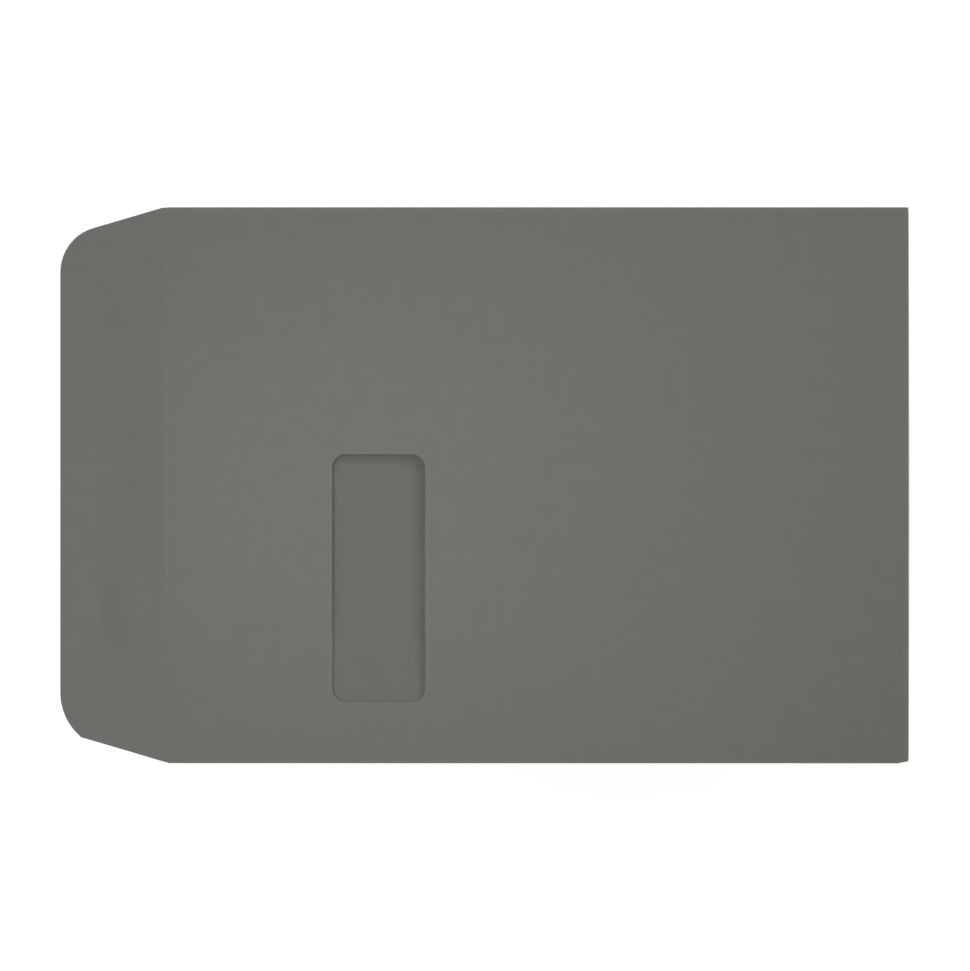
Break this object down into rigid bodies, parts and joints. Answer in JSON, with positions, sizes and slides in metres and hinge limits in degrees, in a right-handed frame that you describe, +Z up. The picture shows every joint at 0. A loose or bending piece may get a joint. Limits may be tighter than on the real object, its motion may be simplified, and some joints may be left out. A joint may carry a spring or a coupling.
{
  "type": "window envelope",
  "caption": "Large open-end paper envelope with a clear film window in its front, lying with its seal flap opened out.",
  "frame": {"origin": "centre of the envelope's footprint, opened flap included, on the surface that it lies on", "axes": "+X from the open seal flap to the closed end, +Y across the envelope, away from the window's nearer side fold, +Z up, out of the window side"},
  "size_m": [0.3488, 0.2286, 0.0061],
  "materials": {
    "paper": "dark warm grey uncoated text paper",
    "film": "thin clear window film, glossy"
  },
  "bodies": {
    "root": {"folded_sheet": "paper", "window_film": "film"}
  },
  "joints": []
}
